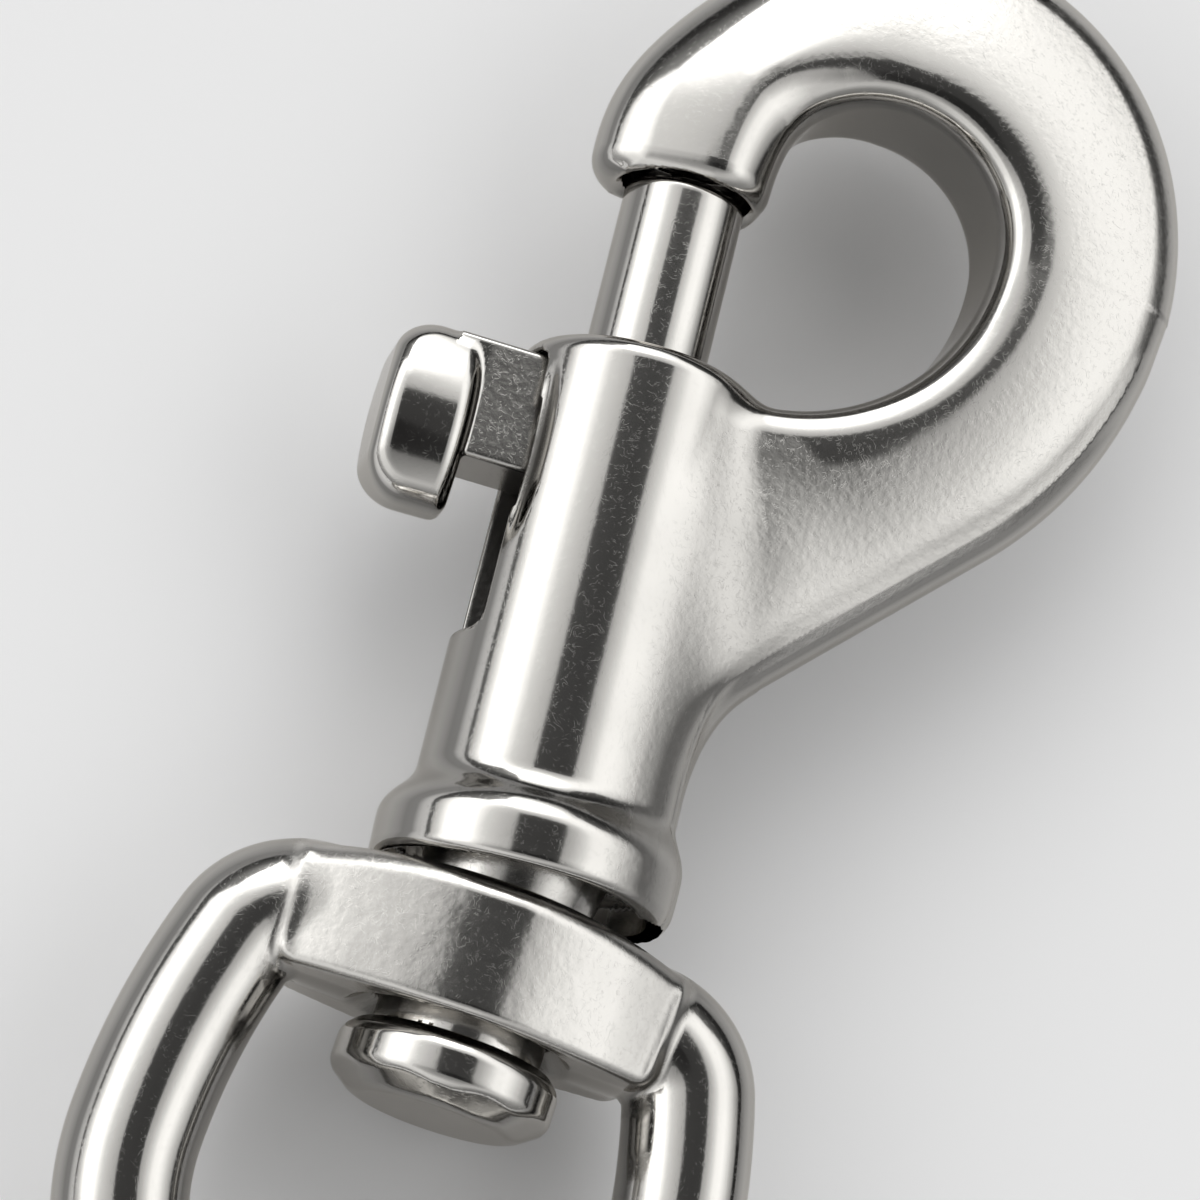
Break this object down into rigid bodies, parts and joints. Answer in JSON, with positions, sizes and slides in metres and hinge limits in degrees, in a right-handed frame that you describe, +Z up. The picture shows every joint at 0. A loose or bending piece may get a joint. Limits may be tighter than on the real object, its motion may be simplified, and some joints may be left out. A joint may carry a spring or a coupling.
{
  "type": "swivel snap hook",
  "caption": "Cast metal snap hook whose opening is closed by a spring-loaded sliding bolt with a thumb knob, with a round swivelling eye on a loose pin.",
  "frame": {"origin": "centre of the gate opening between nose and barrel, on the bolt's axis", "axes": "+Y along the bolt's axis towards the nose, +X towards the bow of the hook, +Z up from the surface the hook lies on"},
  "size_m": [0.0436, 0.0867, 0.0146],
  "materials": {
    "nickel": "polished nickel plate over cast metal",
    "spring_steel": "bare spring wire"
  },
  "bodies": {
    "hook": {"hook_body": "nickel", "bolt_spring": "spring_steel"},
    "bolt": {"bolt": "nickel", "thumb_knob": "nickel"},
    "pin": {"swivel_pin": "nickel"},
    "eye": {"swivel_eye": "nickel"}
  },
  "joints": [
    {"name": "bolt_slide", "type": "slide", "parent": "hook", "child": "bolt", "axis": [0, -1, 0], "range_m": [0, 0.008], "stiffness_N_per_m": 350, "springref_m": -0.006, "deforming": ["bolt_spring"]},
    {"name": "pin_rock", "type": "hinge", "parent": "hook", "child": "pin", "pos_m": [0, -0.02769, 0], "axis": [0, 0, 1], "range_deg": [0, 9]},
    {"name": "eye_swivel", "type": "hinge", "parent": "pin", "child": "eye", "pos_m": [0, -0.02769, 0], "axis": [0.0785, 0.9969, 0], "continuous": true}
  ]
}
